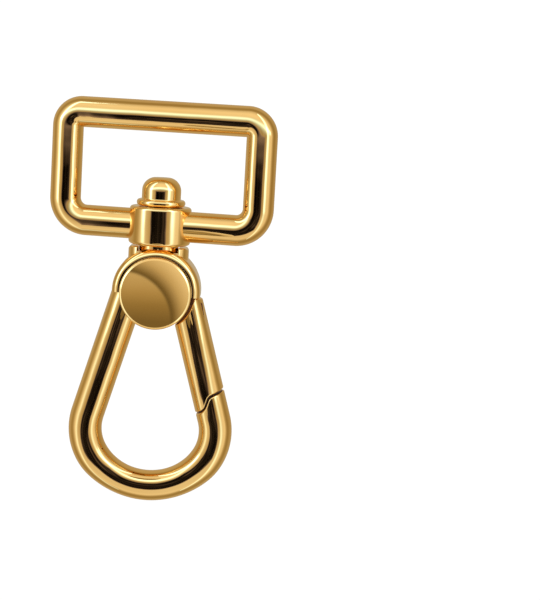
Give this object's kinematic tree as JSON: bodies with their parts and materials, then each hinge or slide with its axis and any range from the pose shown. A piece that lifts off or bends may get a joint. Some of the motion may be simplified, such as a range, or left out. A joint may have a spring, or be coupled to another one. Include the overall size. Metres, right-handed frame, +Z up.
{
  "type": "swivel snap hook",
  "caption": "Polished gold swivel snap hook with a sprung gate, for a flat strap.",
  "frame": {"origin": "on the gate's pivot axis, at the outer face of the back cover", "axes": "+X across the hook towards the gate, +Y from the bow towards the strap ring, +Z up through the thickness, from the back cover to the front cover"},
  "size_m": [0.0344, 0.0619, 0.01],
  "materials": {
    "gold_plate": "polished",
    "pin_steel": "satin",
    "spring_steel": "satin"
  },
  "bodies": {
    "hook": {"hook_body": "gold_plate", "swivel_stud": "gold_plate", "thrust_washer": "gold_plate", "pivot_pin": "pin_steel", "gate_spring": "spring_steel", "front_cover": "gold_plate", "back_cover": "gold_plate"},
    "ring": {"strap_ring": "gold_plate"},
    "gate": {"gate": "gold_plate"}
  },
  "joints": [
    {"name": "ring_swivel", "type": "hinge", "parent": "hook", "child": "ring", "pos_m": [0, 0.01, 0.005], "axis": [0, 1, 0], "continuous": true},
    {"name": "gate_hinge", "type": "hinge", "parent": "hook", "child": "gate", "pos_m": [0, 0, 0.005], "axis": [0, 0, -1], "range_deg": [0, 36], "stiffness_Nm_per_rad": 0.01, "springref_deg": -68.75, "deforming": ["gate_spring"]}
  ]
}
